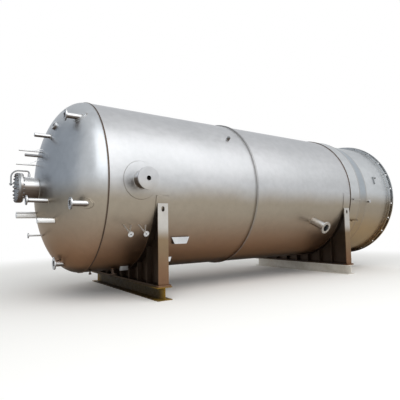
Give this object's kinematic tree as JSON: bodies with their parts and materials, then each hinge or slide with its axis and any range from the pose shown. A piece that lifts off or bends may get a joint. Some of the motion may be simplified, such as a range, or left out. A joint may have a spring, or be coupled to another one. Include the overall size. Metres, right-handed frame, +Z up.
{
  "type": "pressure vessel",
  "caption": "Horizontal stainless pressure vessel with a dished nozzle head, bolted manway with davit, lapped open skirt, saddles and bearers.",
  "frame": {"origin": "underside of the bearer under the front saddle, at its middle, on the ground", "axes": "+X along the vessel from the manway head to the skirt, +Y to the side without nozzles, +Z up"},
  "size_m": [11.5889, 4.56, 4.46],
  "materials": {
    "shell_plate": "pickled and bead blasted stainless sheet",
    "skirt_plate": "pickled stainless plate",
    "support_plate": "hot rolled and pickled stainless plate",
    "fitting": "turned stainless forgings and pipe",
    "bolting": "stainless studs and nuts, dull",
    "gasket": "dark compressed sheet",
    "bearer_paint": "worn ochre yellow paint"
  },
  "bodies": {
    "root": {"angle_cleat": "skirt_plate", "base_plate_front": "support_plate", "base_plate_rear": "support_plate", "base_ring": "skirt_plate", "bearer_front": "bearer_paint", "bearer_rear": "bearer_paint", "bottom_drain": "fitting", "bottom_head": "shell_plate", "bottom_outlet": "fitting", "chair_gussets": "skirt_plate", "chair_top_ring": "skirt_plate", "davit_arm": "fitting", "davit_nut": "bolting", "davit_socket": "fitting", "earth_lug": "support_plate", "front_head": "shell_plate", "front_head_knuckle": "shell_plate", "girth_ring": "shell_plate", "head_drain": "fitting", "head_nozzle_bottom": "fitting", "head_nozzle_middle": "fitting", "head_nozzle_near": "fitting", "head_nozzle_small": "fitting", "head_nozzle_top": "fitting", "head_pad_near": "fitting", "head_pad_top": "fitting", "head_seam_ring": "shell_plate", "head_stub_large": "fitting", "head_stub_lower": "fitting", "head_stub_short": "fitting", "head_stub_upper": "fitting", "instrument_stubs": "fitting", "manway_cover": "fitting", "manway_gasket": "gasket", "manway_neck": "fitting", "manway_studs": "bolting", "nameplate_bracket": "fitting", "saddle_front": "support_plate", "saddle_rear": "support_plate", "shell_coupling": "fitting", "shell_course_front": "shell_plate", "shell_course_middle": "shell_plate", "shell_course_rear": "shell_plate", "side_nozzle_back": "fitting", "side_nozzle_front": "fitting", "side_nozzle_rear": "fitting", "skirt_collar": "skirt_plate", "skirt_cone": "skirt_plate", "skirt_coupling": "fitting", "skirt_shell": "skirt_plate", "studding_outlet": "fitting", "trunnion_pad_far": "fitting", "trunnion_pad_near": "fitting", "trunnion_plate_far": "fitting", "trunnion_plate_near": "fitting", "trunnion_tube_far": "fitting", "trunnion_tube_near": "fitting", "underside_cleat": "fitting", "wear_plate_front": "support_plate", "wear_plate_rear": "support_plate"}
  },
  "joints": []
}
